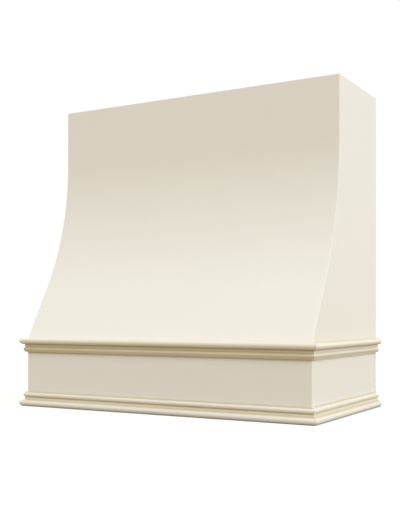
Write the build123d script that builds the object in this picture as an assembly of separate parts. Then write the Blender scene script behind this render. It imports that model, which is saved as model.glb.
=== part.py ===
from build123d import *
import math
import os

# Wooden range hood cover, millimetres.
# +X runs to the right as one faces it, +Y runs into the wall, +Z is up.
# The origin is the middle of the bottom back edge, on the wall's surface (y = 0).

# Outline
cover_width = 914.4
cover_height = 914.4
top_depth = 304.8
apron_depth = 495.3
apron_height = 203.2

# Front curve, from the top: plumb, then one arc, then a straight slope to the apron
plumb_drop = 165.1
slope_length = 165.1

# Board stock
side_thickness = 19.0
apron_thickness = 19.0
skin_thickness = 9.5
rail_thickness = 19.0
rib_thickness = 19.0
ledger_thickness = 19.0
edge_ease = 1.5

# Inner frame
top_rail_height = 88.9
bottom_rail_height = 88.9
knee_rail_depth = 76.2
rib_depth = 63.5
rib_count = 2
corner_block_leg = 44.0
corner_block_height = 90.0
corner_block_lift = 12.0

# Ledger strips that the fan liner is screwed up against
ledger_height = 38.1
ledger_recess = 25.4

# Interlocking bevelled cleats that hang the cover on the wall
cleat_thickness = 19.0
cleat_bevel = 45.0
hood_cleat_height = 63.5
wall_cleat_height = 88.9
cleat_end_gap = 12.0
hang_clearance = 1.0
bevel_clearance = 0.3

# Holes for the screws that go into the wall's studs
stud_spacing = 406.4
stud_hole_diameter = 6.4
wall_cleat_hole_rise = 22.0
bottom_rail_hole_drop = 13.0

# Moulding section: p is how far a point stands out, s how far it is from the big bead's end
moulding_height = 42.0
big_bead_radius = 9.2
big_bead_reach = 18.0
band_reach = 6.3
band_height = 7.0
groove_reach = 4.9
groove_height = 2.6
foot_reach = 5.6
foot_height = 2.4
small_bead_reach = 9.2

# Pocket screws that pull the rails' ends against the side panels
pocket_angle = 15.0
pocket_diameter = 9.5
pocket_length = 60.0
pocket_seat = 17.0
pocket_pair_spacing = 46.0
knee_pair_spacing = 40.0
screw_length = 32.0
screw_diameter = 3.8
screw_clearance = 0.2
pilot_bite = 0.3
pan_head_diameter = 8.4
pan_head_height = 2.6

# Countersunk screws in the ledgers, the hood cleat and the ribs' feet
flat_head_diameter = 8.0
flat_head_height = 3.0
flat_screw_length = 30.0
flat_head_sink = 0.3
end_margin = 45.0
ledger_screw_spacing = 200.0
cleat_screw_spacing = 180.0

# Brads, set under the painted face
brad_diameter = 1.3
brad_set = 1.5
brad_length = 20.0
skin_brad_length = 26.0
brad_spacing = 110.0
brad_margin = 30.0

# Worked out from the sizes above
half_width = cover_width / 2
inner_half = half_width - side_thickness
apron_inner_y = -(apron_depth - apron_thickness)
plumb_end_z = cover_height - plumb_drop
top_rail_z = cover_height - top_rail_height
front_rail_y = -(top_depth - skin_thickness)
back_rail_y = -(cleat_thickness + hang_clearance)
knee_rail_z = apron_height - rail_thickness
bottom_rail_y = -rail_thickness
ledger_top_z = ledger_recess + ledger_height
bevel_rise = cleat_thickness * math.tan(math.radians(cleat_bevel))
hood_cleat_z = cover_height - hood_cleat_height
pilot_diameter = screw_diameter - pilot_bite
clearance_diameter = screw_diameter + 2 * screw_clearance

flare_reach = apron_depth - top_depth
flare_fall = plumb_end_z - apron_height
arc_radius = (flare_fall**2 + flare_reach**2 - slope_length**2) / (2 * flare_reach)
slope_angle = math.atan2(flare_fall, arc_radius - flare_reach) - math.atan2(slope_length, arc_radius)
arc_centre_y = -(top_depth + arc_radius)

bead_foot = 2 * big_bead_radius
band_end = bead_foot + band_height


def block(x_from, x_to, y_from, y_to, z_from, z_to):
    """A plain board between three pairs of faces."""
    centre = Pos((x_from + x_to) / 2, (y_from + y_to) / 2, (z_from + z_to) / 2)
    return centre * Box(x_to - x_from, y_to - y_from, z_to - z_from)


def rod(place, diameter, start, end):
    """A round bar along the z direction of place, from start to end."""
    centre = place * Pos(0, 0, (start + end) / 2)
    return centre * Cylinder(diameter / 2, end - start)


def spread(low, high, spacing):
    """Even places from low to high, no further apart than spacing."""
    gaps = max(1, math.ceil((high - low) / spacing))
    return [low + (high - low) * i / gaps for i in range(gaps + 1)]


# Front curve


def arc_point(inset, angle):
    """A point (y, z) of the arc, moved inset towards the wall."""
    radius = arc_radius + inset
    return (arc_centre_y + radius * math.cos(angle), plumb_end_z - radius * math.sin(angle))


def slope_end(inset, low):
    """Where the straight slope, moved inset towards the wall, crosses the height low."""
    foot_y, foot_z = arc_point(inset, slope_angle)
    return (foot_y - (foot_z - low) * math.tan(slope_angle), low)


def front_edges(inset, low, high):
    """Edges of the front curve, moved inset towards the wall, from high down to low."""
    bend = arc_point(inset, 0)
    foot = arc_point(inset, slope_angle)
    return [
        Line((bend[0], high), bend),
        ThreePointArc(bend, arc_point(inset, slope_angle / 2), foot),
        Line(foot, slope_end(inset, low)),
    ]


def front_place(x, z):
    """A place on the cover's front face at height z, with its z direction square into the wood."""
    fall = plumb_end_z - z
    foot_z = arc_point(0, slope_angle)[1]
    if fall <= 0:
        angle, y = 0, -top_depth
    elif z > foot_z:
        angle = math.asin(fall / arc_radius)
        y = arc_point(0, angle)[0]
    else:
        angle, y = slope_angle, slope_end(0, z)[0]
    return Plane(origin=(x, y, z), x_dir=(1, 0, 0), z_dir=(0, math.cos(angle), -math.sin(angle)))


def slab(edges, x_from, x_to):
    """A closed outline in (y, z), made solid between two places along X."""
    return extrude(Plane.YZ.offset(x_from) * make_face(edges), x_to - x_from)


# Screws


def pan_screw(place):
    """A pan head screw whose head seats at the plane of place and whose point is at +z."""
    return rod(place, screw_diameter, 0, screw_length) + rod(place, pan_head_diameter, -pan_head_height, 0)


def flat_head(place, grow):
    """The cone of a countersunk head, grown all round by grow, sunk under the plane of place."""
    top = flat_head_diameter / 2 + grow
    bottom = screw_diameter / 2 + grow
    centre = place * Pos(0, 0, flat_head_sink + flat_head_height / 2)
    return centre * Cone(top, bottom, flat_head_height)


def flat_screw(place):
    """A countersunk screw whose head is just under the plane of place and whose point is at +z."""
    start = flat_head_sink + flat_head_height
    return flat_head(place, 0) + rod(place, screw_diameter, start, flat_screw_length)


def flat_screw_hole(place, depth):
    """What is cut for a countersunk screw from the piece that its head sits in."""
    mouth = rod(place, flat_head_diameter + 2 * screw_clearance, -flat_head_sink, flat_head_sink)
    return flat_head(place, screw_clearance) + mouth + rod(place, clearance_diameter, 0, depth)


def pilot_hole(place, start):
    """What is cut for a countersunk screw from the piece that its thread bites into."""
    return rod(place, pilot_diameter, start, flat_screw_length)


# Pocket joints: each place lies where a screw crosses from a rail's end into a side panel


def pocket_places(points, face):
    """Screw places at both ends of a rail, for the points (y, z) and the face (y, z) with the pockets."""
    lean = math.sin(math.radians(pocket_angle))
    along = math.cos(math.radians(pocket_angle))
    places = []
    for side in (-1, 1):
        for y, z in points:
            travel = (side * along, -lean * face[0], -lean * face[1])
            places.append(Plane(origin=(side * inner_half, y, z), z_dir=travel))
    return places


def pocket_cut(place):
    """The pocket and the clearance hole, cut from a rail."""
    bore = rod(place, pocket_diameter, -pocket_seat - pocket_length, -pocket_seat)
    return bore + rod(place, clearance_diameter, -pocket_seat, pocket_seat)


def pair(middle, spacing):
    """Two places either side of a middle."""
    return [middle - spacing / 2, middle + spacing / 2]


front_rail_mid_y = front_rail_y + rail_thickness / 2
back_rail_mid_y = back_rail_y - rail_thickness / 2
top_rail_mid_z = cover_height - top_rail_height / 2
knee_mid_y = apron_inner_y + knee_rail_depth / 2
knee_mid_z = knee_rail_z + rail_thickness / 2
bottom_rail_mid_z = bottom_rail_height / 2

top_rail_heights = pair(top_rail_mid_z, pocket_pair_spacing)
pockets = {
    "top_front_rail": pocket_places([(front_rail_mid_y, z) for z in top_rail_heights], (1, 0)),
    "top_back_rail": pocket_places([(back_rail_mid_y, z) for z in top_rail_heights], (-1, 0)),
    "knee_rail": pocket_places([(y, knee_mid_z) for y in pair(knee_mid_y, knee_pair_spacing)], (0, 1)),
    "back_bottom_rail": pocket_places(
        [(bottom_rail_y / 2, z) for z in pair(bottom_rail_mid_z, pocket_pair_spacing)], (1, 0)
    ),
}
all_pockets = [place for places in pockets.values() for place in places]

# Screw places in the ledgers, the hood cleat and the ribs' feet
ledger_mid_z = ledger_recess + ledger_height / 2
ledger_front_y = apron_inner_y + ledger_thickness
ledger_back_y = bottom_rail_y - ledger_thickness
ledger_side_x = inner_half - ledger_thickness
long_ledger_x = spread(-inner_half + end_margin, inner_half - end_margin, ledger_screw_spacing)
short_ledger_y = spread(ledger_front_y + end_margin, ledger_back_y - end_margin, ledger_screw_spacing)
ledger_screws = {
    "liner_cleat_front": [Plane((x, ledger_front_y, ledger_mid_z), z_dir=(0, -1, 0)) for x in long_ledger_x],
    "liner_cleat_back": [Plane((x, ledger_back_y, ledger_mid_z), z_dir=(0, 1, 0)) for x in long_ledger_x],
    "liner_cleat_left": [Plane((-ledger_side_x, y, ledger_mid_z), z_dir=(-1, 0, 0)) for y in short_ledger_y],
    "liner_cleat_right": [Plane((ledger_side_x, y, ledger_mid_z), z_dir=(1, 0, 0)) for y in short_ledger_y],
}

hood_cleat_half = inner_half - cleat_end_gap
hood_cleat_screw_z = cover_height - (hood_cleat_height - bevel_rise) / 2
hood_cleat_screw_x = spread(-hood_cleat_half + end_margin, hood_cleat_half - end_margin, cleat_screw_spacing)
cleat_screws = [Plane((x, -hang_clearance, hood_cleat_screw_z), z_dir=(0, -1, 0)) for x in hood_cleat_screw_x]

rib_x = [inner_half * (2 * (i + 1) / (rib_count + 1) - 1) for i in range(rib_count)]
rib_foot_y = (slope_end(skin_thickness + rib_depth, apron_height)[0] + apron_inner_y) / 2
rib_screws = [Plane((x, rib_foot_y, knee_rail_z), z_dir=(0, 0, 1)) for x in rib_x]


# Painted shell


def side_panel(side):
    """One board the full height of the cover, shaped to the front curve behind the skin."""
    low_front = slope_end(skin_thickness, apron_height)
    top_front = (-(top_depth - skin_thickness), cover_height)
    apron_back = [(apron_inner_y, apron_height), (apron_inner_y, 0)]
    wall_edge = [(0, 0), (0, cover_height)]
    corners = Polyline(low_front, *apron_back, *wall_edge, top_front)
    outline = front_edges(skin_thickness, apron_height, cover_height) + [corners]
    outer = side * half_width
    inner = side * inner_half
    panel = slab(outline, min(outer, inner), max(outer, inner))
    for place in all_pockets:
        if place.origin.X * side > 0:
            panel -= rod(place, pilot_diameter, -1, screw_length - pocket_seat)
    ledger = "liner_cleat_right" if side > 0 else "liner_cleat_left"
    for place in ledger_screws[ledger]:
        panel -= pilot_hole(place, ledger_thickness)
    return panel


def front_skin():
    """Bent plywood over the side panels, ribs and top rail, standing on the apron's top edge."""
    outer = front_edges(0, apron_height, cover_height)
    inner = front_edges(skin_thickness, apron_height, cover_height)
    top = Line((-top_depth, cover_height), (-(top_depth - skin_thickness), cover_height))
    foot = Line(slope_end(0, apron_height), slope_end(skin_thickness, apron_height))
    skin = slab(outer + inner + [top, foot], -half_width, half_width)
    corners = [
        edge
        for edge in skin.edges()
        if abs(abs(edge.center().X) - half_width) < edge_ease and on_front_curve(edge)
    ]
    return fillet(corners, edge_ease)


def on_front_curve(edge):
    """Whether the whole of an edge lies on the skin's outer face."""
    face_y = [front_place(0, (edge @ t).Z).origin.Y for t in (0.1, 0.5, 0.9)]
    return all(abs((edge @ t).Y - y) < edge_ease / 2 for t, y in zip((0.1, 0.5, 0.9), face_y))


def apron_front():
    """The flat band under the skin, lapped over the side panels' front edges."""
    apron = block(-half_width, half_width, -apron_depth, apron_inner_y, 0, apron_height)
    corners = apron.edges().filter_by(Axis.Z).group_by(Axis.Y)[0]
    apron = fillet(corners, edge_ease)
    for place in ledger_screws["liner_cleat_front"]:
        apron -= pilot_hole(place, ledger_thickness)
    return apron


# Mouldings


def moulding_section():
    """The outline in (p, s): half-round big bead, flat band, hollow groove, small bead and flat foot."""
    bead_axis = big_bead_reach - big_bead_radius
    groove_end = band_end + groove_height
    foot_start = moulding_height - foot_height
    groove_middle = (groove_reach, (band_end + groove_end) / 2)
    small_middle = (small_bead_reach, (groove_end + foot_start) / 2)
    return [
        Line((0, 0), (bead_axis, 0)),
        ThreePointArc((bead_axis, 0), (big_bead_reach, big_bead_radius), (bead_axis, bead_foot)),
        Polyline((bead_axis, bead_foot), (band_reach, bead_foot), (band_reach, band_end)),
        ThreePointArc((band_reach, band_end), groove_middle, (foot_reach, groove_end)),
        ThreePointArc((foot_reach, groove_end), small_middle, (foot_reach, foot_start)),
        Polyline((foot_reach, foot_start), (foot_reach, moulding_height), (0, moulding_height), (0, 0)),
    ]


def moulding_face(upper):
    """The section with +Y up, hung from the apron's top or, turned over, stood on its bottom."""
    face = make_face(moulding_section())
    return Pos(0, apron_height) * mirror(face, Plane.XZ) if upper else face


def mitre(side):
    """The plane of a front corner's mitre, facing away from the front moulding."""
    return Plane(origin=(side * half_width, -apron_depth, 0), z_dir=(side, 1, 0))


def moulding_front(upper):
    """The length across the front, mitred at both ends."""
    reach = half_width + big_bead_reach
    start = Plane(origin=(reach, -apron_depth, 0), x_dir=(0, -1, 0), z_dir=(-1, 0, 0))
    length = extrude(start * moulding_face(upper), 2 * reach)
    for side in (-1, 1):
        length = split(length, bisect_by=mitre(side), keep=Keep.BOTTOM)
    return length


def moulding_side(upper, side):
    """The length along one side, square at the wall and mitred at the front."""
    start = Plane(origin=(half_width, 0, 0), x_dir=(1, 0, 0), z_dir=(0, -1, 0))
    length = extrude(start * moulding_face(upper), apron_depth + big_bead_reach)
    length = split(length, bisect_by=mitre(1), keep=Keep.TOP)
    return length if side > 0 else mirror(length, Plane.YZ)


# Inner frame


def top_front_rail():
    """Rail behind the skin at the very top."""
    back_y = front_rail_y + rail_thickness
    rail = block(-inner_half, inner_half, front_rail_y, back_y, top_rail_z, cover_height)
    for place in pockets["top_front_rail"]:
        rail -= pocket_cut(place)
    return rail


def top_back_rail():
    """Rail near the wall that carries the hood cleat."""
    front_y = back_rail_y - rail_thickness
    rail = block(-inner_half, inner_half, front_y, back_rail_y, top_rail_z, cover_height)
    for place in pockets["top_back_rail"]:
        rail -= pocket_cut(place)
    for place in cleat_screws:
        rail -= pilot_hole(place, cleat_thickness)
    return rail


def knee_rail():
    """Flat board behind the apron's top edge that the ribs stand on."""
    back_y = apron_inner_y + knee_rail_depth
    rail = block(-inner_half, inner_half, apron_inner_y, back_y, knee_rail_z, apron_height)
    for place in pockets["knee_rail"]:
        rail -= pocket_cut(place)
    for place in rib_screws:
        rail -= flat_screw_hole(place, rail_thickness)
    return rail


def back_bottom_rail():
    """Rail flat against the wall at the bottom, with holes for two stud screws."""
    rail = block(-inner_half, inner_half, bottom_rail_y, 0, 0, bottom_rail_height)
    for place in pockets["back_bottom_rail"]:
        rail -= pocket_cut(place)
    for place in ledger_screws["liner_cleat_back"]:
        rail -= pilot_hole(place, ledger_thickness)
    return rail - stud_holes(bottom_rail_height - bottom_rail_hole_drop, rail_thickness)


def stud_holes(z, thickness):
    """Two through holes at the wall studs' spacing, in a board against the wall."""
    places = [Plane((x, -thickness, z), z_dir=(0, 1, 0)) for x in pair(0, stud_spacing)]
    return [rod(place, stud_hole_diameter, -1, thickness + 1) for place in places]


def rib(index):
    """Curved former behind the skin, from the knee rail up to the top rail."""
    back_inset = skin_thickness + rib_depth
    front = front_edges(skin_thickness, apron_height, top_rail_z)
    back = front_edges(back_inset, apron_height, top_rail_z)
    top = Line((arc_point(skin_thickness, 0)[0], top_rail_z), (arc_point(back_inset, 0)[0], top_rail_z))
    foot = Line(slope_end(skin_thickness, apron_height), slope_end(back_inset, apron_height))
    x = rib_x[index]
    former = slab(front + back + [top, foot], x - rib_thickness / 2, x + rib_thickness / 2)
    return former - pilot_hole(rib_screws[index], rail_thickness)


def corner_block(side):
    """Three-cornered glue block in the angle of the apron and a side panel."""
    corner = (side * inner_half, apron_inner_y)
    along_side = (corner[0], corner[1] + corner_block_leg)
    along_apron = (corner[0] - side * corner_block_leg, corner[1])
    face = make_face(Polyline(corner, along_side, along_apron, corner))
    low_z = ledger_top_z + corner_block_lift
    return Pos(0, 0, low_z) * extrude(face, corner_block_height, dir=(0, 0, 1))


def liner_cleats():
    """Four ledger strips round the inside of the apron, by node name."""
    strips = {
        "liner_cleat_front": block(
            -inner_half, inner_half, apron_inner_y, ledger_front_y, ledger_recess, ledger_top_z
        ),
        "liner_cleat_back": block(
            -inner_half, inner_half, ledger_back_y, bottom_rail_y, ledger_recess, ledger_top_z
        ),
        "liner_cleat_left": block(
            -inner_half, -ledger_side_x, ledger_front_y, ledger_back_y, ledger_recess, ledger_top_z
        ),
        "liner_cleat_right": block(
            ledger_side_x, inner_half, ledger_front_y, ledger_back_y, ledger_recess, ledger_top_z
        ),
    }
    for name, places in ledger_screws.items():
        for place in places:
            strips[name] -= flat_screw_hole(place, ledger_thickness)
    return strips


# Hanging cleats


def hood_cleat():
    """Strip on the back rail whose bevelled lower edge hooks over the wall cleat."""
    front_y = back_rail_y
    back_y = -hang_clearance
    outline = Polyline(
        (back_y, hood_cleat_z),
        (back_y, cover_height),
        (front_y, cover_height),
        (front_y, hood_cleat_z + bevel_rise),
        (back_y, hood_cleat_z),
    )
    cleat = slab([outline], -hood_cleat_half, hood_cleat_half)
    for place in cleat_screws:
        cleat -= flat_screw_hole(place, cleat_thickness)
    return cleat


def wall_cleat():
    """Strip screwed to the wall, bevelled to hold the hood cleat against the wall."""
    slope = math.tan(math.radians(cleat_bevel))
    low_edge_z = hood_cleat_z - hang_clearance * slope - bevel_clearance
    point_z = low_edge_z + bevel_rise
    bottom_z = point_z - wall_cleat_height
    outline = Polyline(
        (0, bottom_z),
        (0, low_edge_z),
        (-cleat_thickness, point_z),
        (-cleat_thickness, bottom_z),
        (0, bottom_z),
    )
    cleat = slab([outline], -hood_cleat_half, hood_cleat_half)
    return cleat - stud_holes(bottom_z + wall_cleat_hole_rise, cleat_thickness)


# Brads


def brad(place, length):
    """A headless nail whose outer end is just under the plane of place."""
    return rod(place, brad_diameter, brad_set, brad_set + length)


def skin_brads():
    """Nails through the skin into the side panels, the ribs and the top rail."""
    columns = [-half_width + side_thickness / 2, *rib_x, half_width - side_thickness / 2]
    heights = spread(apron_height + brad_margin, top_rail_z - brad_margin, brad_spacing)
    rows = spread(-inner_half + brad_margin, inner_half - brad_margin, brad_spacing)
    nails = [brad(front_place(x, z), skin_brad_length) for x in columns for z in heights]
    return nails + [brad(front_place(x, top_rail_mid_z), skin_brad_length) for x in rows]


def moulding_brads():
    """Nails through the mouldings' bands into the apron and the side panels."""
    band_s = bead_foot + band_height / 2
    across = spread(-half_width + brad_margin, half_width - brad_margin, brad_spacing)
    along = spread(-apron_depth + brad_margin, -brad_margin, brad_spacing)
    nails = []
    for z in (band_s, apron_height - band_s):
        face_y = -(apron_depth + band_reach)
        face_x = half_width + band_reach
        nails += [brad(Plane((x, face_y, z), z_dir=(0, 1, 0)), brad_length) for x in across]
        nails += [brad(Plane((-face_x, y, z), z_dir=(1, 0, 0)), brad_length) for y in along]
        nails += [brad(Plane((face_x, y, z), z_dir=(-1, 0, 0)), brad_length) for y in along]
    return nails


# Assembly

parts = {
    "side_panel_left": side_panel(-1),
    "side_panel_right": side_panel(1),
    "front_skin": front_skin(),
    "apron_front": apron_front(),
    "top_front_rail": top_front_rail(),
    "top_back_rail": top_back_rail(),
    "knee_rail": knee_rail(),
    "back_bottom_rail": back_bottom_rail(),
    "hood_cleat": hood_cleat(),
    "wall_cleat": wall_cleat(),
    "corner_block_left": corner_block(-1),
    "corner_block_right": corner_block(1),
}
parts.update(liner_cleats())
for index, name in enumerate(["rib_left", "rib_right"]):
    parts[name] = rib(index)
for level, upper in (("upper", True), ("lower", False)):
    parts[f"{level}_moulding_front"] = moulding_front(upper)
    parts[f"{level}_moulding_left"] = moulding_side(upper, -1)
    parts[f"{level}_moulding_right"] = moulding_side(upper, 1)

groups = {
    "pocket_screws": [pan_screw(place * Pos(0, 0, -pocket_seat)) for place in all_pockets],
    "liner_cleat_screws": [flat_screw(place) for places in ledger_screws.values() for place in places],
    "hood_cleat_screws": [flat_screw(place) for place in cleat_screws],
    "rib_screws": [flat_screw(place) for place in rib_screws],
    "skin_brads": skin_brads(),
    "moulding_brads": moulding_brads(),
}

os.makedirs("parts", exist_ok=True)
for name, shape in parts.items():
    export_step(shape, f"parts/{name}.step")
for name, solids in groups.items():
    export_step(Compound(children=solids), f"parts/{name}.step")
print("arc radius", round(arc_radius, 1), "slope", round(math.degrees(slope_angle), 2))
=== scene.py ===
import cmath
import math

import bmesh
import bpy
import numpy as np
from mathutils import Matrix, Vector


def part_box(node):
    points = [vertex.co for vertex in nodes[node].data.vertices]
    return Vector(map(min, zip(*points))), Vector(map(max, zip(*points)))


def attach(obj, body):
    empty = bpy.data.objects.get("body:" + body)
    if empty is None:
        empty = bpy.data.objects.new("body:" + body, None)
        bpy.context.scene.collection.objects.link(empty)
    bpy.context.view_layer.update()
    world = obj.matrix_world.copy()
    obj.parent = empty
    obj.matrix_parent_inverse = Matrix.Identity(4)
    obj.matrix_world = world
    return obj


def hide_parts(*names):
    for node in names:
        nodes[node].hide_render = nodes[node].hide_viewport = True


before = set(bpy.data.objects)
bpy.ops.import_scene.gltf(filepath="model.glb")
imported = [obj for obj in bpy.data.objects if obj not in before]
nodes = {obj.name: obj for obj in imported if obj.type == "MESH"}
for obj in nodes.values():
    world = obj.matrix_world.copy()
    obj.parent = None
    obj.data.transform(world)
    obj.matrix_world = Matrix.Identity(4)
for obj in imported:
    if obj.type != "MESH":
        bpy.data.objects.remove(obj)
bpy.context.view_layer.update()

# The axes: x runs to the right, y into the wall and z up
X, Y, Z = range(3)

# Sizes in metres, read from the frame where a node carries them
MM = 0.001
tiny = 1e-6
skin_thickness = 9.5 * MM
plumb_length = 165.1 * MM
slope_length = 165.1 * MM
rib_depth = 63.5 * MM
arris = 1.5 * MM
thin_arris_share = 0.5
skin_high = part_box("front_skin")[1]
side_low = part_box("side_panel_right")[0]
apron_low, apron_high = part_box("apron_front")
moulding_low, moulding_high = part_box("upper_moulding_front")
half_width = skin_high.x
inner_half = side_low.x
cover_top = skin_high.z
apron_top = apron_high.z
apron_face = apron_low.y
apron_back = apron_high.y
top_depth = skin_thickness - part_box("top_front_rail")[0].y

# The front curve: plumb at the top, one arc, then a straight slope down to the apron
plumb_end = cover_top - plumb_length
flare_fall = plumb_end - apron_top
flare_reach = -apron_face - top_depth
arc_radius = (flare_fall**2 + flare_reach**2 - slope_length**2) / (2 * flare_reach)
slope_angle = math.atan2(flare_fall, arc_radius - flare_reach) - math.atan2(slope_length, arc_radius)
arc_length = arc_radius * slope_angle

# Steps down the front curve and round an eased edge
curve_steps = 140
arris_steps = 4

# The moulding's section, in millimetres: p stands out from the board, s runs from the big bead's end
big_bead_radius = 9.2
big_bead_reach = 18.0
band_reach = 6.3
band_height = 7.0
groove_reach = 4.9
groove_height = 2.6
foot_reach = 5.6
foot_height = 2.4
small_bead_reach = 9.2
moulding_height = (moulding_high.z - moulding_low.z) / MM
bead_foot = 2 * big_bead_radius
band_end = bead_foot + band_height
groove_end = band_end + groove_height
groove_middle = band_end + groove_height / 2
small_bead_end = moulding_height - foot_height
small_bead_middle = (groove_end + small_bead_end) / 2
small_bead_flank = 3.0

# Steps along each stretch of the section and along each length, and the least turn in degrees that
# leaves a sharp edge
shelf_steps = 6
big_bead_steps = 32
band_steps = 8
groove_steps = 10
small_bead_steps = 20
length_steps = 24
moulding_crease = 30.0

# Straw-coloured glazing and painted shade on the mouldings, from 0 to 1: a wiped glazing, with painted shade
# in the recesses, under the beads and on the shelf by the board, its amounts set for each row and face by
# how the light falls there. Each length keeps a film all over, a share on its shelf next to the board, and
# lines of these places s and widths in millimetres
glaze_and_shade_lines = (
    (1.5, 2.5),
    ((big_bead_radius + bead_foot) / 2, 3.5),
    (bead_foot, 2.4),
    ((bead_foot + band_end) / 2, 2.5),
    (groove_middle, 2.0),
    (small_bead_middle - small_bead_flank, 2.5),
    (small_bead_middle + small_bead_flank / 2, 3.0),
    (moulding_height, 1.8),
)
glaze_and_shade_amounts = {
    "upper front": (0.00, 0.08, 0.54, 0.19, 0.42, 0.29, 0.42, 0.66),
    "upper side": (0.41, 0.09, 0.52, 0.02, 0.28, 0.13, 0.46, 0.55),
    "lower front": (0.00, 0.01, 0.36, 0.14, 0.69, 0.00, 0.00, 0.32),
    "lower side": (0.00, 0.07, 0.38, 0.00, 0.35, 0.00, 0.10, 0.00),
}
glaze_and_shade_films = {"upper front": 0.16, "upper side": 0.05, "lower front": 0.07, "lower side": 0.06}
shelf_glaze_and_shade = 0.32
mitre_glaze = 0.45
mitre_glaze_width = 2.0 * MM

# The same glazing and painted shade on the boards, in lines along the mouldings where shade falls in the
# creases: on top of the upper row, under it, and on top of the lower row
board_line_width = 2.6 * MM
board_line_heights = (apron_top, apron_top - moulding_height * MM, moulding_height * MM)
board_lines = {"skin": (0.10, 0.00, 0.00), "apron": (0.00, 0.58, 0.48), "sides": (0.18, 0.00, 0.82)}

# How unevenly the glazing and painted shade are laid on, as shares of their amount
moulding_unevenness = 0.12
board_unevenness = 0.2

# Screws: outlines of (radius, depth) below the head's top and drive recesses, in millimetres
pan_profile = (
    (2.6, 0.0),
    (3.5, 0.25),
    (4.0, 0.8),
    (4.2, 1.5),
    (4.2, 2.6),
    (1.9, 2.6),
    (1.9, 31.0),
    (0.3, 34.6),
)
pan_drive_size = 2.9
pan_drive_depth = 2.0
flat_profile = ((3.2, 0.0), (3.9, 0.05), (4.0, 0.25), (1.9, 3.0), (1.9, 26.5), (0.3, 29.7))
flat_drive_size = 4.6
flat_drive_depth = 1.9

# A recess's foot, and half an arm of a cross recess, as shares of the recess's size
recess_foot_share = 0.55
half_arm_share = 1 / 7

# The sides of a lathed screw, the least turn in degrees that leaves a sharp edge on it, the turn in radians
# of each screw past the last, and the digits of their places that put them in order
screw_sides = 48
screw_crease = 35.0
screw_spin = 1.3
screw_place_digits = 5


# Building node trees


class Graph:
    """Adds nodes to one tree. An input is a plain value or another node's output socket."""

    def __init__(self, tree):
        self.tree = tree

    def put(self, socket, value):
        """Sets an input, by a link where the value is an output socket."""
        if isinstance(value, bpy.types.NodeSocket):
            self.tree.links.new(value, socket)
        elif socket.type == "RGBA" and len(value) == 3:
            socket.default_value = (*value, 1)
        else:
            socket.default_value = value

    def add(self, kind, inputs=None, **settings):
        """A new node with its settings and inputs."""
        node = self.tree.nodes.new(kind)
        for key, value in settings.items():
            setattr(node, key, value)
        for key, value in (inputs or {}).items():
            self.put(node.inputs[key], value)
        return node

    def math(self, operation, *values):
        """The result of one operation on its values."""
        node = self.add("ShaderNodeMath", operation=operation)
        for socket, value in zip(node.inputs, values):
            self.put(socket, value)
        return node.outputs[0]

    def vector(self, x, y, z):
        """A vector of three parts."""
        return self.add("ShaderNodeCombineXYZ", {"X": x, "Y": y, "Z": z}).outputs[0]

    def split(self, vector):
        """The three parts of a vector."""
        return self.add("ShaderNodeSeparateXYZ", {0: vector}).outputs

    def remap(self, value, low, high, to_low, to_high):
        """A value taken linearly from one range to another and held at its ends."""
        inputs = {0: value, 1: low, 2: high, 3: to_low, 4: to_high}
        return self.add("ShaderNodeMapRange", inputs, clamp=True).outputs[0]


# The range that noise mostly keeps to
noise_low = 0.3
noise_high = 0.7


class Finish(Graph):
    """A procedural material for one finish, on Object coordinates in metres."""

    def __init__(self, name):
        self.material = bpy.data.materials.new(name)
        self.material.use_nodes = True
        super().__init__(self.material.node_tree)
        self.shader = self.tree.nodes["Principled BSDF"]
        coordinates = self.add("ShaderNodeTexCoord")
        self.place = coordinates.outputs["Object"]
        self.facing = coordinates.outputs["Normal"]

    def noise(self, cells, detail=3.0, stretch=(1, 1, 1), roughness=0.5):
        """Noise of so many cells a metre, drawn out along each axis by its stretch."""
        vector = self.place
        if stretch != (1, 1, 1):
            rate = tuple(1 / s for s in stretch)
            vector = self.add("ShaderNodeMapping", {"Vector": vector, "Scale": rate}).outputs[0]
        inputs = {"Vector": vector, "Scale": cells, "Detail": detail, "Roughness": roughness}
        return self.add("ShaderNodeTexNoise", inputs).outputs[0]

    def between(self, noise, low, high):
        """Noise spread from its own range to another."""
        return self.remap(noise, noise_low, noise_high, low, high)

    def faces(self, axis, limits):
        """From 0 to 1 as the part of the surface's normal along an axis passes between two limits."""
        part = self.math("ABSOLUTE", self.split(self.facing)[axis])
        return self.remap(part, *limits, 0.0, 1.0)

    def blend(self, factor, first, second):
        """Mixes two colours, which are inputs 6 and 7 and output 2 of a Mix node."""
        node = self.add("ShaderNodeMix", data_type="RGBA", clamp_factor=True)
        self.put(node.inputs[0], factor)
        self.put(node.inputs[6], first)
        self.put(node.inputs[7], second)
        return node.outputs[2]

    def bump(self, height, distance, strength, under=None):
        """A surface made rough by a height, over an earlier bump if one is given."""
        inputs = {"Height": height, "Distance": distance, "Strength": strength}
        if under is not None:
            inputs["Normal"] = under
        return self.add("ShaderNodeBump", inputs).outputs[0]

    def finish(self, color, roughness, normal, **plain):
        """Joins the maps to the shader. Values that are the same everywhere go on its sockets."""
        self.put(self.shader.inputs["Base Color"], color)
        self.put(self.shader.inputs["Roughness"], roughness)
        self.put(self.shader.inputs["Normal"], normal)
        for key, value in plain.items():
            self.shader.inputs[key.replace("_", " ")].default_value = value
        return self.material


# Finishes


def shade(color, share):
    """A colour brought down to a share of itself."""
    return tuple(c * share for c in color)


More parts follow.
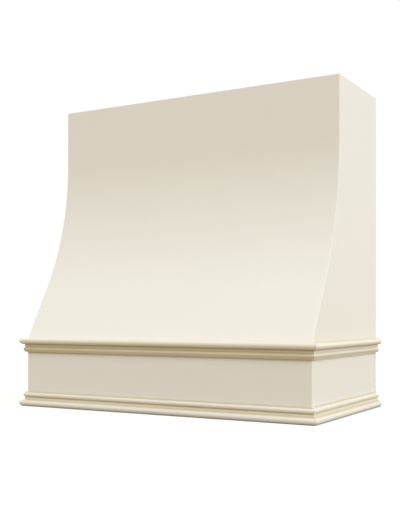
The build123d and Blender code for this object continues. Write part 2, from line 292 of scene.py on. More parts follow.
cream = (0.865, 0.843, 0.800)
cream_deep = shade(cream, 0.975)
cream_thin = (0.81, 0.76, 0.665)
# Straw tint of the glazing and of the painted shade in the mouldings' recesses and creases
glaze_and_shade_tint = (0.51, 0.36, 0.065)
birch_pale = (0.70, 0.545, 0.36)
birch_dark = (0.56, 0.405, 0.24)
birch_end = (0.43, 0.29, 0.155)
birch_end_dark = shade(birch_end, 0.62)
glue_line = (0.22, 0.13, 0.065)
lauan_pale = (0.55, 0.36, 0.235)
lauan_dark = (0.38, 0.225, 0.135)
maple_pale = (0.70, 0.53, 0.35)
maple_dark = (0.55, 0.385, 0.225)
maple_end_pale = shade(maple_pale, 0.72)
maple_end_dark = shade(maple_dark, 0.6)
zinc_pale = (0.72, 0.66, 0.47)
zinc_dark = (0.52, 0.47, 0.34)

# How rough each finish is, from its smoothest to its roughest spots, and how strongly it shines
board_roughness = (0.40, 0.48)
moulding_roughness = (0.38, 0.47)
ply_roughness = (0.52, 0.66)
maple_roughness = (0.45, 0.60)
zinc_roughness = (0.28, 0.46)
paint_shine = 0.42
ply_shine = 0.35
maple_shine = 0.38

# Heights of the finishes' fine relief
spray_height = 0.12 * MM
flow_height = 0.4 * MM
mill_height = 0.2 * MM
pore_height = 0.2 * MM
plating_height = 0.1 * MM

# The veneers' growth rings: radians of their phase for each metre across the grain, and in their sway, and
# how strongly they show over the range of the noise in patches
ring_rate = 70.0
ring_sway = 45.0
ring_contrast = (0.04, 0.17)
patch_range = (0.35, 0.65)

# The range of the figure from pale to dark wood, the range of the pores from none to their strongest, and
# the pores' colour as a share of the dark wood's
figure_range = (0.25, 0.85)
pore_range = (0.52, 0.72)
pore_strength = 0.35
pore_darkness = 0.6

# Plies and the glue lines between them: thickness, half a line's width as a share of a ply, and strength
birch_ply = 1.46 * MM
bending_ply = 1.58 * MM
glue_line_share = 0.07
glue_line_strength = 0.75

# Limits between which a surface turns from a ply's edge to its face, from the skin's side to its end,
# and from long grain to end grain
ply_face_limits = (0.55, 0.65)
skin_end_limits = (0.90, 0.95)
end_grain_limits = (0.75, 0.85)

# How far spray paint strayed over an arris onto a bare edge, and how well it covers there
stray_least = 0.2 * MM
stray_most = 2.4 * MM
stray_blur = 0.3 * MM
stray_cover = 0.95


def spray_texture(f):
    """The fine pebbling of sprayed paint."""
    return f.bump(f.noise(cells=650.0, roughness=0.55), spray_height, strength=0.35)


def sprayed_paint(board):
    """Satin cabinet paint on a board: even colour, fine spray texture, glazing and painted shade along the
    mouldings.
    """
    f = Finish(f"cream_satin_{board}")
    drift = f.between(f.noise(cells=3.0, detail=2.0), low=0.0, high=0.35)
    mottle = f.between(f.noise(cells=120.0), low=0.0, high=0.12)
    color = f.blend(mottle, f.blend(drift, cream, cream_deep), cream_thin)
    height = f.split(f.place)[Z]
    # Painted shade, with some glazing, in lines where the mouldings meet the board
    for line, amount in zip(board_line_heights, board_lines[board]):
        away = f.math("DIVIDE", f.math("SUBTRACT", height, line), board_line_width)
        near = f.math("POWER", math.e, f.math("MULTIPLY", f.math("MULTIPLY", away, away), -1.0))
        uneven_amount = f.between(f.noise(cells=35.0), amount * (1 - board_unevenness), amount * (1 + board_unevenness))
        color = f.blend(f.math("MULTIPLY", near, uneven_amount), color, glaze_and_shade_tint)
    roughness = f.between(f.noise(cells=40.0, detail=4.0), *board_roughness)
    flow = f.bump(f.noise(cells=60.0, detail=2.0), flow_height, strength=0.10, under=spray_texture(f))
    return f.finish(color, roughness, flow, Specular_IOR_Level=paint_shine)


def moulding_paint():
    """The same paint on milled moulding, under straw-coloured glazing and painted shade in its recesses."""
    f = Finish("cream_glazed_moulding")
    # Glazing and painted shade, as stored on the moulding's points
    glaze = f.add("ShaderNodeAttribute", attribute_name="glaze").outputs["Fac"]
    uneven_amount = f.between(f.noise(cells=22.0, stretch=(6, 6, 1)), 1 - moulding_unevenness, 1 + moulding_unevenness)
    color = f.blend(f.math("MULTIPLY", glaze, uneven_amount), cream, glaze_and_shade_tint)
    roughness = f.between(f.noise(cells=90.0), *moulding_roughness)
    marks = f.noise(cells=260.0, detail=2.0, stretch=(12, 12, 1))
    milled = f.bump(marks, mill_height, strength=0.10, under=spray_texture(f))
    return f.finish(color, roughness, milled, Specular_IOR_Level=paint_shine)


def with_grain(grain, stretch):
    """A noise stretch along the grain's axis alone."""
    return tuple(stretch if axis == grain else 1.0 for axis in range(3))


def veneer(f, layer, grain, pale, dark):
    """Colour and pores of a rotary-cut face: the growth rings' wavy outlines, clouds and fine pores."""
    third = X + Y + Z - layer - grain
    across = f.split(f.place)[third]
    sway = f.noise(cells=4.0, detail=2.0, stretch=with_grain(grain, 5.0))
    rings = f.math("SINE", f.math("MULTIPLY_ADD", sway, ring_sway, f.math("MULTIPLY", across, ring_rate)))
    patches = f.noise(cells=7.0, detail=2.0, stretch=with_grain(grain, 4.0))
    contrast = f.remap(patches, *patch_range, *ring_contrast)
    cloud = f.noise(cells=26.0, detail=4.0, stretch=with_grain(grain, 9.0), roughness=0.6)
    figure = f.math("MULTIPLY_ADD", rings, contrast, cloud)
    pores = f.noise(cells=900.0, detail=2.0, stretch=with_grain(grain, 24.0))
    color = f.blend(f.remap(figure, *figure_range, 0.0, 1.0), pale, dark)
    color = f.blend(f.remap(pores, *pore_range, 0.0, pore_strength), color, shade(dark, pore_darkness))
    return color, pores


def stray_paint(f, color, away):
    """Spray that strayed onto a bare edge, with a ragged border some way from the painted face."""
    reach = f.between(f.noise(cells=240.0, detail=4.0, roughness=0.7), stray_least, stray_most)
    near = f.remap(f.math("SUBTRACT", away, reach), -stray_blur, stray_blur, stray_cover, 0.0)
    return f.blend(near, color, cream)


def plywood(name, layer, grain, ply=birch_ply, woods=(birch_pale, birch_dark), inset=False, painted=None):
    """Sanded plywood: veneer on its two faces, and layers with turned grain and glue lines on its edges.
    Painted is the depth of a painted face, whose spray strayed onto the edges. A bent board is marked with
    inset, and its layers follow the depth stored on it."""
    pale, dark = woods
    f = Finish(name)
    face, pores = veneer(f, layer, grain, pale, dark)
    if inset:
        depth = f.add("ShaderNodeAttribute", attribute_name="inset").outputs["Fac"]
        on_face = f.math("SUBTRACT", 1.0, f.faces(Z, skin_end_limits))
    else:
        depth = f.split(f.place)[layer]
        on_face = f.faces(layer, ply_face_limits)
    count = f.math("DIVIDE", depth, ply)
    parity = f.math("PINGPONG", f.math("FLOOR", count), 1.0)
    streaks = f.between(f.noise(cells=700.0), 0.0, 1.0)
    edge = f.blend(parity, f.blend(streaks, pale, dark), f.blend(streaks, birch_end, birch_end_dark))
    seam = f.remap(f.math("PINGPONG", count, 0.5), 0.0, glue_line_share, glue_line_strength, 0.0)
    edge = f.blend(seam, edge, glue_line)
    color = f.blend(on_face, edge, face)
    if painted is not None:
        away = f.math("ABSOLUTE", f.math("SUBTRACT", f.math("ABSOLUTE", depth), painted))
        color = stray_paint(f, color, away)
    grained = f.bump(pores, pore_height, strength=0.35)
    return f.finish(color, f.between(pores, *ply_roughness), grained, Specular_IOR_Level=ply_shine)


def hardwood(name, grain):
    """Planed maple: long figure and pores on its sides, and rings on its end grain."""
    f = Finish(name)
    layer = (grain + 1) % 3
    face, pores = veneer(f, layer, grain, maple_pale, maple_dark)
    rings = f.add(
        "ShaderNodeTexWave",
        {"Vector": f.place, "Scale": 95.0, "Distortion": 5.0, "Detail": 2.0, "Detail Scale": 1.6},
        wave_type="RINGS",
        rings_direction="XYZ"[grain],
    ).outputs["Fac"]
    end = f.blend(rings, maple_end_pale, maple_end_dark)
    color = f.blend(f.faces(grain, end_grain_limits), face, end)
    grained = f.bump(pores, pore_height, strength=0.3)
    return f.finish(color, f.between(pores, *maple_roughness), grained, Specular_IOR_Level=maple_shine)


def zinc_plate():
    """Yellow-passivated zinc on steel, cloudy and finely pitted."""
    f = Finish("yellow_zinc_screws")
    color = f.blend(f.between(f.noise(cells=420.0), 0.0, 1.0), zinc_pale, zinc_dark)
    roughness = f.between(f.noise(cells=900.0, detail=2.0), *zinc_roughness)
    pitted = f.bump(f.noise(cells=1500.0, detail=2.0), plating_height, strength=0.4)
    return f.finish(color, roughness, pitted, Metallic=1.0)


skin_paint = sprayed_paint("skin")
apron_paint = sprayed_paint("apron")
side_paint = sprayed_paint("sides")
glazed_paint = moulding_paint()
ply_side = plywood("birch_plywood_sides", X, Z, painted=half_width)
ply_upright = plywood("birch_plywood_rails", Y, X)
ply_flat = plywood("birch_plywood_knee_rail", Z, X)
ply_bent = plywood("bending_plywood", Y, X, bending_ply, (lauan_pale, lauan_dark), inset=True, painted=0.0)
maple_long = hardwood("maple_ledgers_long", X)
maple_short = hardwood("maple_ledgers_short", Y)
maple_block = hardwood("maple_corner_blocks", Z)
zinc = zinc_plate()


# Geometry trees and finished pieces


def open_tree(name, **inputs):
    """A geometry tree and its inputs: the geometry, a finish, and those named here with their kinds."""
    g = Graph(bpy.data.node_groups.new(name, "GeometryNodeTree"))
    face = g.tree.interface
    for label, kind in {"Geometry": "Geometry", "Finish": "Material", **inputs}.items():
        face.new_socket(name=label, in_out="INPUT", socket_type=f"NodeSocket{kind}")
    face.new_socket(name="Geometry", in_out="OUTPUT", socket_type="NodeSocketGeometry")
    return g, g.add("NodeGroupInput").outputs


def close_tree(g, geometry, finish):
    """Ends a geometry tree: its copies are made real and everything gets the finish."""
    real = g.add("GeometryNodeRealizeInstances", {0: geometry}).outputs[0]
    dressed = g.add("GeometryNodeSetMaterial", {"Geometry": real, "Material": finish}).outputs[0]
    g.add("NodeGroupOutput", {0: dressed})
    return g.tree


def apply_tree(piece, tree, finish, values):
    """Gives a piece a geometry tree, with its inputs set by identifier."""
    modifier = piece.modifiers.new(tree.name, "NODES")
    modifier.node_group = tree
    values = {"Finish": finish, **values}
    for item in tree.interface.items_tree:
        if item.in_out == "INPUT" and item.name in values:
            modifier[item.identifier] = values[item.name]


def new_piece(name, bm):
    """An object from a bmesh, at the origin."""
    mesh = bpy.data.meshes.new(name)
    bm.to_mesh(mesh)
    bm.free()
    piece = bpy.data.objects.new(name, mesh)
    bpy.context.scene.collection.objects.link(piece)
    return piece


def settle(piece):
    """Turns a piece's modifiers into its plain mesh."""
    bpy.context.view_layer.update()
    graph = bpy.context.evaluated_depsgraph_get()
    mesh = bpy.data.meshes.new_from_object(piece.evaluated_get(graph), depsgraph=graph)
    mesh.name = piece.name
    piece.modifiers.clear()
    piece.data = mesh


def outward(mesh):
    """Points every face outwards."""
    bm = bmesh.new()
    bm.from_mesh(mesh)
    bmesh.ops.recalc_face_normals(bm, faces=bm.faces)
    bm.to_mesh(mesh)
    bm.free()


def crease(mesh, degrees):
    """Shades a mesh smooth, with sharp edges where its faces turn by more than an angle."""
    mesh.shade_smooth()
    mesh.set_sharp_from_angle(angle=math.radians(degrees))


def hang(piece, node):
    """Lets a finished piece stand for a node of the hood and move with it."""
    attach(piece, "hood")
    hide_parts(node)


# Boards. While a board is straight, its y is the inset from the front face and its z the length down
# the front; its points that are marked with follows are then bent onto the front curve


def bend_tree():
    """Moves the marked points of a straight board onto the front curve."""
    sizes = ("Top", "Top Depth", "Plumb Length", "Arc Radius", "Slope Angle")
    g, given = open_tree("bend_to_front", **dict.fromkeys(sizes, "Float"))
    x, inset, run = g.split(g.add("GeometryNodeInputPosition").outputs[0])
    radius = g.math("ADD", given["Arc Radius"], inset)
    past_plumb = g.math("SUBTRACT", run, given["Plumb Length"])
    turn = g.math("DIVIDE", past_plumb, given["Arc Radius"])
    turn = g.math("MINIMUM", g.math("MAXIMUM", turn, 0.0), given["Slope Angle"])
    arc = g.math("MULTIPLY", given["Arc Radius"], given["Slope Angle"])
    straight = g.math("MAXIMUM", g.math("SUBTRACT", past_plumb, arc), 0.0)
    plumb = g.math("MINIMUM", run, given["Plumb Length"])
    sine = g.math("SINE", turn)
    cosine = g.math("COSINE", turn)
    centre_y = g.math("MULTIPLY", g.math("ADD", given["Top Depth"], given["Arc Radius"]), -1.0)
    y = g.math("MULTIPLY_ADD", radius, cosine, centre_y)
    y = g.math("SUBTRACT", y, g.math("MULTIPLY", straight, sine))
    z = g.math("SUBTRACT", g.math("SUBTRACT", given["Top"], plumb), g.math("MULTIPLY", radius, sine))
    z = g.math("SUBTRACT", z, g.math("MULTIPLY", straight, cosine))
    follows = g.add("GeometryNodeInputNamedAttribute", {"Name": "follows"}, data_type="FLOAT").outputs[0]
    marked = g.add("FunctionNodeCompare", {0: follows, 1: 0.5}, data_type="FLOAT", operation="GREATER_THAN")
    bent = {"Geometry": given["Geometry"], "Selection": marked.outputs[0], "Position": g.vector(x, y, z)}
    return close_tree(g, g.add("GeometryNodeSetPosition", bent).outputs[0], given["Finish"])


bend = bend_tree()
front_curve = {
    "Top": cover_top,
    "Top Depth": top_depth,
    "Plumb Length": plumb_length,
    "Arc Radius": arc_radius,
    "Slope Angle": slope_angle,
}

# The least part of a face's normal along an axis for it to count as turned that way, and as square on
turned = 0.5
square_on = 0.9


def foot_run(inset):
    """The length down the front, at an inset, to the height of the apron's top."""
    slope_fall = flare_fall - (arc_radius + inset) * math.sin(slope_angle)
    return plumb_length + arc_length + slope_fall / math.cos(slope_angle)


def ease_edges(piece, share):
    """Rounds a board's edges, each by the share of the arris that a rule gives for its two ends."""
    mesh = piece.data
    weight = mesh.attributes.new("bevel_weight_edge", "FLOAT", "EDGE")
    for edge in mesh.edges:
        a, b = (mesh.vertices[index].co for index in edge.vertices)
        weight.data[edge.index].value = share(a, b)
    bevel = piece.modifiers.new("eased_edges", "BEVEL")
    bevel.limit_method = "WEIGHT"
    bevel.width = arris
    bevel.segments = arris_steps
    bevel.harden_normals = True
    bevel.use_clamp_overlap = True


def is_upright(a, b):
    """Whether an edge between two ends rises by more than half its length."""
    return abs(b.z - a.z) > (b - a).length / 2


def bent_board(name, x_from, x_to, front, back, run_from, finish):
    """A straight board, to be bent onto the front curve from run_from down to the apron's top."""
    corners = ((x_from, front), (x_to, front), (x_to, back), (x_from, back))
    bm = bmesh.new()
    follows = bm.verts.layers.float.new("follows")
    depth = bm.verts.layers.float.new("inset")
    rings = []
    for i in range(curve_steps + 1):
        ring = []
        for x, inset in corners:
            vertex = bm.verts.new((x, inset, run_from + (foot_run(inset) - run_from) * i / curve_steps))
            vertex[follows] = 1.0
            vertex[depth] = inset
            ring.append(vertex)
        rings.append(ring)
    for upper, lower in zip(rings, rings[1:]):
        for k in range(len(corners)):
            after = (k + 1) % len(corners)
            bm.faces.new((upper[k], lower[k], lower[after], upper[after]))
    bm.faces.new(rings[0])
    bm.faces.new(rings[-1][::-1])
    piece = new_piece(name, bm)
    apply_tree(piece, bend, finish, front_curve)
    return piece


def flat_board(name, outline, x_from, x_to):
    """A board cut to an outline of (y, z, follows) and as thick as x_from to x_to."""
    bm = bmesh.new()
    follows = bm.verts.layers.float.new("follows")
    sides = []
    for x in (x_from, x_to):
        side = []
        for y, z, follow in outline:
            vertex = bm.verts.new((x, y, z))
            vertex[follows] = follow
            side.append(vertex)
        sides.append(side)
    low, high = sides
    bm.faces.new(low)
    bm.faces.new(high[::-1])
    for k in range(len(outline)):
        bm.faces.new((low[k], high[k], high[k - 1], low[k - 1]))
    return new_piece(name, bm)


def dress(piece, paint, bare, is_bare):
    """Paints a board, and leaves the wood bare on the faces whose normal a rule picks."""
    piece.data.materials.clear()
    piece.data.materials.append(paint)
    piece.data.materials.append(bare)
    for face in piece.data.polygons:
        face.material_index = int(is_bare(face.normal))


def skin_edge(a, b):
    """The skin's two long front corners are eased, and its top edges less."""
    if is_upright(a, b):
        return 1.0 if max(a.y, b.y) < skin_thickness / 2 else 0.0
    return thin_arris_share if max(a.z, b.z, min(a.y, b.y)) < tiny else 0.0


def front_skin():
    """Painted outside and on its two long edges, bare behind and at its top and foot."""
    skin = bent_board("front_skin_board", -half_width, half_width, 0, skin_thickness, 0, skin_paint)
    ease_edges(skin, skin_edge)
    settle(skin)
    dress(skin, skin_paint, ply_bent, lambda normal: normal.y > turned or abs(normal.z) > square_on)
    hang(skin, "front_skin")


def ribs():
    """Curved formers behind the skin, from the top rail down to the knee rail."""
    start = cover_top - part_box("top_front_rail")[0].z
    back = skin_thickness + rib_depth
    for node in ("rib_left", "rib_right"):
        low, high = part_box(node)
        rib = bent_board(f"{node}_board", low.x, high.x, skin_thickness, back, start, ply_side)
        settle(rib)
        hang(rib, node)


def side_edge(a, b):
    """A side's back, top and bottom edges are eased a little. Those under the skin and apron stay square."""
    return thin_arris_share if min(abs(a.y), abs(b.y)) < tiny else 0.0


def side_panels():
    """One board each: painted outside and along the bottom, bare inside and on its other edges."""
    runs = [foot_run(skin_thickness) * i / curve_steps for i in range(curve_steps + 1)]
    front = [(skin_thickness, run, 1.0) for run in runs]
    rest = [(apron_back, apron_top, 0.0), (apron_back, 0.0, 0.0), (0.0, 0.0, 0.0), (0.0, cover_top, 0.0)]
    for side, node in ((-1, "side_panel_left"), (1, "side_panel_right")):
        panel = flat_board(f"{node}_board", front + rest, *sorted((side * inner_half, side * half_width)))
        apply_tree(panel, bend, side_paint, front_curve)
        settle(panel)
        outward(panel.data)
        ease_edges(panel, side_edge)
        settle(panel)
        dress(panel, side_paint, ply_side, lambda normal: normal.x * side < turned and normal.z > -turned)
        hang(panel, node)


def apron_edge(a, b):
    """The apron's two front corners are eased."""
    return 1.0 if is_upright(a, b) and max(a.y, b.y) < (apron_face + apron_back) / 2 else 0.0


def apron():
    """The flat band, eased at its two front corners, bare behind and on top."""
    corners = ((apron_face, 0.0), (apron_face, apron_top), (apron_back, apron_top), (apron_back, 0.0))
    board = flat_board("apron_front_board", [(y, z, 0.0) for y, z in corners], -half_width, half_width)
    outward(board.data)
    ease_edges(board, apron_edge)
    settle(board)
    dress(board, apron_paint, ply_upright, lambda normal: normal.y > turned or normal.z > turned)
    hang(board, "apron_front")


# Mouldings


def straight(start, end, count):
    """Points (p, s) from start up to the one before end."""
    return [tuple(a + (b - a) * i / count for a, b in zip(start, end)) for i in range(count)]


def arc(start, through, end, count):
    """Points (p, s) of the circular arc from start through a point to end."""
    a, b, c = (complex(*point) for point in (start, through, end))
    ratio = (c - a) / (b - a)
    centre = a + (b - a) * (abs(ratio) ** 2 - ratio) / (ratio.conjugate() - ratio)
    first, middle, last = (cmath.phase(z - centre) for z in (a, b, c))
    turn = (last - first) % (2 * math.pi)
    if (middle - first) % (2 * math.pi) > turn:
        turn -= 2 * math.pi
    points = [centre + cmath.rect(abs(a - centre), first + turn * i / count) for i in range(count + 1)]
    return [(z.real, z.imag) for z in points]


def moulding_section():
    """The section's outline in (p, s), from the board over the two beads and back to the board."""
    bead_axis = big_bead_reach - big_bead_radius
    big_bead_crown = (big_bead_reach, big_bead_radius)
    groove_bottom = (groove_reach, groove_middle)
    small_bead_crown = (small_bead_reach, small_bead_middle)
    return [
        *straight((0, 0), (bead_axis, 0), shelf_steps),
        *arc((bead_axis, 0), big_bead_crown, (bead_axis, bead_foot), big_bead_steps),
        *straight((band_reach, bead_foot), (band_reach, band_end), band_steps),
        *arc((band_reach, band_end), groove_bottom, (foot_reach, groove_end), groove_steps),
        *arc((foot_reach, groove_end), small_bead_crown, (foot_reach, small_bead_end), small_bead_steps)[1:],
        (foot_reach, moulding_height),
        (0, moulding_height),
    ]


def glaze_and_shade_at(s, kind):
    """How much glazing and painted shade a place s of the section gets, from 0 to 1."""
    share = glaze_and_shade_films[kind] + (shelf_glaze_and_shade if s == 0 else 0.0)
    for (place, width), amount in zip(glaze_and_shade_lines, glaze_and_shade_amounts[kind]):
        share += amount * math.exp(-(((s - place) / width) ** 2))
    return min(share, 1.0)


def length_tree():
    """Draws a section out along X, with its ends cut square or mitred."""
    sizes = ("Start", "End", "Start Mitre", "End Mitre")
    g, given = open_tree("moulding_length", **dict.fromkeys(sizes, "Float"))
    x, reach, height = g.split(g.add("GeometryNodeInputPosition").outputs[0])
    start = g.math("SUBTRACT", given["Start"], g.math("MULTIPLY", reach, given["Start Mitre"]))
    end = g.math("ADD", given["End"], g.math("MULTIPLY", reach, given["End Mitre"]))
    share = g.add("ShaderNodeMapRange", {0: x, 1: 0.0, 2: 1.0, 3: start, 4: end}).outputs[0]
    drawn = {"Geometry": given["Geometry"], "Position": g.vector(share, reach, height)}
    return close_tree(g, g.add("GeometryNodeSetPosition", drawn).outputs[0], given["Finish"])


lengths = length_tree()


def moulding_length(node, kind, start, end, mitres, place):
    """One length of moulding, drawn along X and then turned to its place."""
    section = moulding_section()
    near_end = mitre_glaze_width / (end - start)
    shares = (0.0, near_end, *np.linspace(0, 1, length_steps + 1)[1:-1], 1 - near_end, 1.0)
    at_mitre = {0.0: mitres[0] * mitre_glaze, 1.0: mitres[1] * mitre_glaze}
    bm = bmesh.new()
    glaze = bm.verts.layers.float.new("glaze")
    rings = []
    for share in shares:
        ring = []
        for p, s in section:
            vertex = bm.verts.new((share, p * MM, s * MM))
            # Glazing and painted shade from the section, and glazing in the mitre joints
            vertex[glaze] = min(glaze_and_shade_at(s, kind) + at_mitre.get(share, 0.0), 1.0)
            ring.append(vertex)
        rings.append(ring)
    for near, far in zip(rings, rings[1:]):
        for k in range(len(section)):
            bm.faces.new((near[k - 1], near[k], far[k], far[k - 1]))
    bm.faces.new(rings[0][::-1])
    bm.faces.new(rings[-1])
    piece = new_piece(f"{node}_length", bm)
    ends = {"Start": start, "End": end, "Start Mitre": mitres[0], "End Mitre": mitres[1]}
    apply_tree(piece, lengths, glazed_paint, ends)
    settle(piece)
    piece.data.transform(place)
    outward(piece.data)
    crease(piece.data, moulding_crease)
    hang(piece, node)


def mouldings():
    """Front and side lengths of both rows; the lower row is the upper one turned over."""
    for row, base, up in (("upper", apron_top, -1), ("lower", 0.0, 1)):
        to_front = Matrix(((1, 0, 0, 0), (0, -1, 0, apron_face), (0, 0, up, base), (0, 0, 0, 1)))
        moulding_length(f"{row}_moulding_front", f"{row} front", -half_width, half_width, (1, 1), to_front)
        for side, name in ((1, "right"), (-1, "left")):
            to_side = Matrix(((0, side, 0, side * half_width), (1, 0, 0, 0), (0, 0, up, base), (0, 0, 0, 1)))
            moulding_length(f"{row}_moulding_{name}", f"{row} side", apron_face, 0.0, (1, 0), to_side)


# Screws


def square_drive(angle, size):
    """How far a square recess reaches at an angle."""
    return size / (2 * max(abs(math.cos(angle)), abs(math.sin(angle))))


def cross_drive(angle, size):
    """How far a cross-shaped recess reaches at an angle."""
    arm = size / 2
    half = size * half_arm_share
    s = max(abs(math.sin(angle)), tiny)
    c = max(abs(math.cos(angle)), tiny)
    return max(min(half / s, arm / c), min(half / c, arm / s))


def lathed(radius, angle, depth):
    """A point of a screw in metres, from a radius and a depth in millimetres."""
    return radius * math.cos(angle) * MM, radius * math.sin(angle) * MM, -depth * MM


def screw_mesh(name, profile, drive, drive_size, drive_depth):
    """A lathed screw along -z from its head at z = 0, with a driver recess that narrows downwards."""
    bm = bmesh.new()
    angles = [2 * math.pi * i / screw_sides for i in range(screw_sides)]
    recess = [drive(angle, drive_size) for angle in angles]
    outlines = [([reach * recess_foot_share for reach in recess], drive_depth), (recess, profile[0][1])]
    outlines += [([radius] * screw_sides, depth) for radius, depth in profile]
    rings = []
    for radii, depth in outlines:
        rings.append([bm.verts.new(lathed(radius, angle, depth)) for radius, angle in zip(radii, angles)])
    for inner, outer in zip(rings, rings[1:]):
        for k in range(screw_sides):
            bm.faces.new((inner[k - 1], outer[k - 1], outer[k], inner[k]))
    bm.faces.new(rings[0])
    bm.faces.new(rings[-1][::-1])
    bmesh.ops.recalc_face_normals(bm, faces=bm.faces)
    mesh = bpy.data.meshes.new(name)
    bm.to_mesh(mesh)
    bm.free()
    crease(mesh, screw_crease)
    return mesh


def loose_parts(bm):
    """The points of each solid of a mesh, as rows of coordinates."""
    left = set(bm.verts)
    while left:
        group = set()
        edge = {left.pop()}
        while edge:
            group |= edge
            edge = {e.other_vert(v) for v in edge for e in v.link_edges} - group
        left -= group
        yield np.array([v.co for v in sorted(group, key=lambda v: v.index)])


def screw_places(node):
    """Where each screw of a CAD group sits: the middle of its head's top, and the way its head faces."""
    bm = bmesh.new()
    bm.from_mesh(nodes[node].data)
    bmesh.ops.remove_doubles(bm, verts=bm.verts, dist=tiny)
    bm.verts.index_update()
    places = []
    for points in loose_parts(bm):
        middle = (points.max(0) + points.min(0)) / 2
        centre = points.mean(0)
        axis = np.linalg.svd(points - centre)[2][0]
        along = (points - middle) @ axis
        off = np.linalg.norm((points - middle) - np.outer(along, axis), axis=1)
        facing = axis if off[along > 0].max() > off[along < 0].max() else -axis
        reach = ((points - centre) @ facing).max()
        places.append((centre + facing * reach, facing))
    bm.free()
    return sorted(places, key=lambda place: tuple(np.round(place[0], screw_place_digits)))


def repeat_tree():
    """Puts a screw at each point, turned to the point's stored rotation."""
    g, given = open_tree("repeat_screw", Screw="Object")
    screw = g.add("GeometryNodeObjectInfo", {"Object": given["Screw"]}).outputs["Geometry"]
    turn = g.add("GeometryNodeInputNamedAttribute", {"Name": "turn"}, data_type="FLOAT_VECTOR").outputs[0]
    rotation = g.add("FunctionNodeEulerToRotation", {0: turn}).outputs[0]
    at_points = {"Points": given["Geometry"], "Instance": screw, "Rotation": rotation}
    return close_tree(g, g.add("GeometryNodeInstanceOnPoints", at_points).outputs[0], given["Finish"])


repeat = repeat_tree()


def template(mesh):
    """One screw for the repeat tree to copy; it is taken out once the sets are made."""
    mesh.materials.append(zinc)
    piece = bpy.data.objects.new(mesh.name, mesh)
    bpy.context.scene.collection.objects.link(piece)
    return piece


def screw_set(node, pattern):
    """Detailed screws in place of one CAD group, each turned a little further than the last."""
    bm = bmesh.new()
    turn = bm.verts.layers.float_vector.new("turn")
    for index, (top, facing) in enumerate(screw_places(node)):
        vertex = bm.verts.new(top)
        spin = Matrix.Rotation(index * screw_spin, 3, "Z").to_quaternion()
        vertex[turn] = (Vector(facing).to_track_quat("Z", "Y") @ spin).to_euler()
    piece = new_piece(f"{node}_set", bm)
    apply_tree(piece, repeat, zinc, {"Screw": pattern})
    settle(piece)
    hang(piece, node)


def screws():
    """Pan heads in the pockets, and flat heads in the ledgers, the cleat and the ribs."""
    pan_mesh = screw_mesh("pan_screw", pan_profile, square_drive, pan_drive_size, pan_drive_depth)
    flat_mesh = screw_mesh("flat_screw", flat_profile, cross_drive, flat_drive_size, flat_drive_depth)
    pan_head = template(pan_mesh)
    flat_head = template(flat_mesh)
    screw_set("pocket_screws", pan_head)
    for node in ("liner_cleat_screws", "hood_cleat_screws", "rib_screws"):
        screw_set(node, flat_head)
    for pattern in (pan_head, flat_head):
        bpy.data.objects.remove(pattern)


# Pieces that stay as the CAD has them


def plain_pieces():
    """Gives the CAD's own boards, ledgers, blocks and nails their finishes."""
    carried = (
        (ply_upright, ("top_front_rail", "top_back_rail", "back_bottom_rail", "hood_cleat", "wall_cleat")),
        (ply_flat, ("knee_rail",)),
        (maple_long, ("liner_cleat_front", "liner_cleat_back")),
        (maple_short, ("liner_cleat_left", "liner_cleat_right")),
        (maple_block, ("corner_block_left", "corner_block_right")),
        (zinc, ("skin_brads", "moulding_brads")),
    )
    for finish, names in carried:
        for name in names:
            for entry in nodes[name].material_slots:
                entry.material = finish


# Studio: the floor, the light and the camera

floor_size = 60.0
floor_white = (0.88, 0.88, 0.88)
floor_lift = 0.18
floor_bounce = (0.39, 0.336, 0.243)
white = (1.0, 1.0, 1.0)
sky_color = (1.0, 0.93, 0.83)
sky_strength = 0.684

# Softboxes: how wide each looks from the cover, in degrees, then the way to each, its strength and its colour
cool_light = (0.88, 0.96, 1.0)
warm_light = (1.0, 0.97, 0.93)
softbox_spread = 50.0
softboxes = {
    "overhead_softbox": ((0.0, -0.7, 1.0), 0.95, cool_light),
    "right_softbox": ((1.0, 0.0, 0.7), 1.57, cool_light),
    "left_fill": ((-1.0, 0.6, 0.2), 1.3, warm_light),
}

# The camera: its picture in pixels, its turn in degrees, its place and reach in metres, and its sensor's
# width in millimetres
picture_height = 532
focal_pixels = 850.3
horizon_row = 314.9
camera_turn = 29.84
camera_place = (1.2606, -2.4515, 0.2718)
camera_reach = 100.0
sensor_width = 36.0


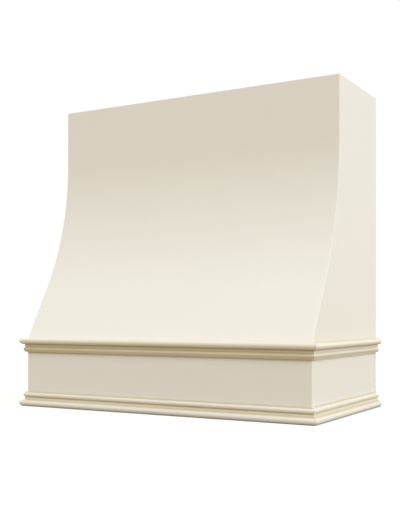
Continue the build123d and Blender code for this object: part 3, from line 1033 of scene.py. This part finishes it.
def floor():
    """A white floor that keeps the cover's shadow and sends back less light than it shows."""
    bpy.ops.mesh.primitive_plane_add(size=floor_size)
    ground = bpy.context.object
    ground.name = "studio_floor"
    material = bpy.data.materials.new("studio_floor_white")
    material.use_nodes = True
    g = Graph(material.node_tree)
    seen = g.add("ShaderNodeLightPath").outputs["Is Camera Ray"]
    g.tree.nodes.remove(g.tree.nodes["Principled BSDF"])
    shown = g.add("ShaderNodeBsdfDiffuse", {"Color": floor_white}).outputs[0]
    glow = g.add("ShaderNodeEmission", {"Color": white, "Strength": floor_lift}).outputs[0]
    lit = g.add("ShaderNodeAddShader", {0: shown, 1: glow}).outputs[0]
    dull = g.add("ShaderNodeBsdfDiffuse", {"Color": floor_bounce}).outputs[0]
    mixed = g.add("ShaderNodeMixShader", {0: seen, 1: dull, 2: lit}).outputs[0]
    g.put(g.tree.nodes["Material Output"].inputs[0], mixed)
    ground.data.materials.append(material)


def sky():
    """Even soft light from all round, and plain white where the camera or a reflection sees it."""
    world = bpy.data.worlds.new("studio")
    bpy.context.scene.world = world
    world.use_nodes = True
    g = Graph(world.node_tree)
    path = g.add("ShaderNodeLightPath").outputs
    seen = g.math("MAXIMUM", path["Is Camera Ray"], path["Is Transmission Ray"])
    seen = g.math("MAXIMUM", seen, path["Is Glossy Ray"])
    light = g.add("ShaderNodeBackground", {"Color": sky_color, "Strength": sky_strength}).outputs[0]
    plain = g.add("ShaderNodeBackground", {"Color": white, "Strength": 1.0}).outputs[0]
    mixed = g.add("ShaderNodeMixShader", {0: seen, 1: light, 2: plain}).outputs[0]
    output = g.tree.nodes.get("World Output") or g.add("ShaderNodeOutputWorld")
    g.put(output.inputs[0], mixed)


def softbox(name, toward, strength, color):
    """A very wide distant lamp, as a big softbox gives, shining from a direction."""
    data = bpy.data.lights.new(name, "SUN")
    data.energy = strength
    data.angle = math.radians(softbox_spread)
    data.color = color
    lamp = bpy.data.objects.new(name, data)
    lamp.rotation_mode = "QUATERNION"
    lamp.rotation_quaternion = Vector(toward).to_track_quat("Z", "Y")
    bpy.context.scene.collection.objects.link(lamp)


def camera():
    """Level, off the cover's right front corner, and shifted up so that the uprights stay parallel."""
    data = bpy.data.cameras.new("camera")
    data.sensor_width = sensor_width
    data.lens = focal_pixels / picture_height * data.sensor_width
    data.shift_y = (horizon_row - picture_height / 2) / picture_height
    data.clip_end = camera_reach
    eye = bpy.data.objects.new("camera", data)
    eye.location = camera_place
    eye.rotation_euler = (math.radians(90), 0, math.radians(camera_turn))
    bpy.context.scene.collection.objects.link(eye)
    bpy.context.scene.camera = eye


# Making the cover and its studio

front_skin()
ribs()
side_panels()
apron()
mouldings()
screws()
plain_pieces()
floor()
sky()
for name, (toward, strength, color) in softboxes.items():
    softbox(name, toward, strength, color)
camera()
bpy.context.scene.view_settings.view_transform = "Standard"
